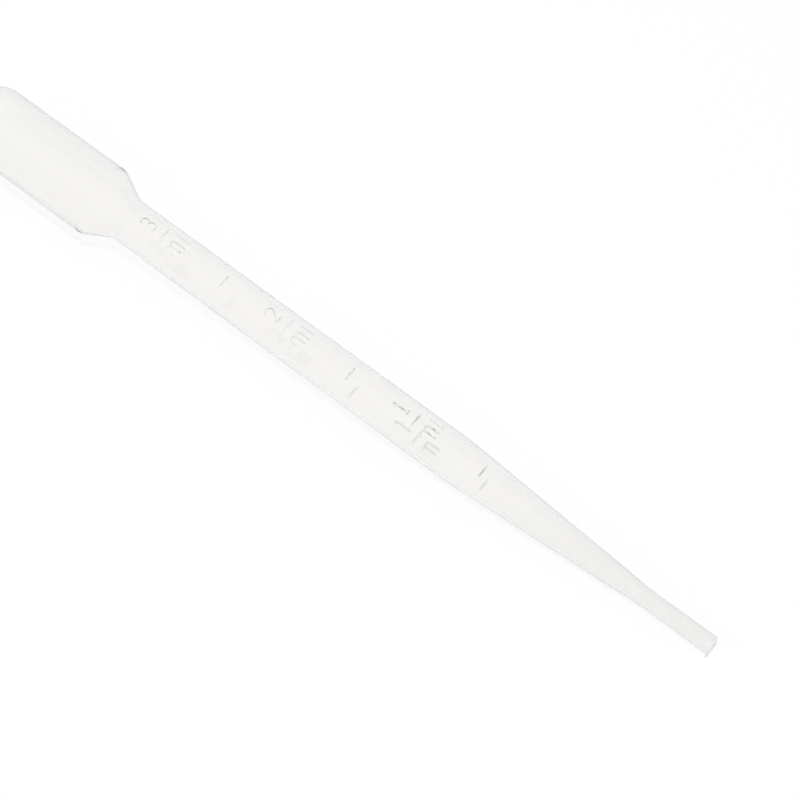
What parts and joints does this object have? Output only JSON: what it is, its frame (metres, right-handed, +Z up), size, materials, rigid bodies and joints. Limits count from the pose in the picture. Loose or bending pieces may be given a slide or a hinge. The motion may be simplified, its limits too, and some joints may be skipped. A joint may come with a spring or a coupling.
{
  "type": "dropper pipette",
  "caption": "One-piece blow-moulded dropper pipette in translucent polyethylene: squeeze bulb, slim stem with raised volume marks, drawn tip.",
  "frame": {"origin": "on the surface it lies on, under the centre of its bounding box", "axes": "+X towards the tip, +Z up, with the volume marks on top; the pipette's own axis falls 2 degrees towards the tip, because it rests on the bulb's shoulder and on the stem where the taper starts"},
  "size_m": [0.1564, 0.0132, 0.0141],
  "materials": {
    "polyethylene": "natural low-density polyethylene, translucent, satin from the mould"
  },
  "bodies": {
    "root": {"pipette": "polyethylene"}
  },
  "joints": []
}
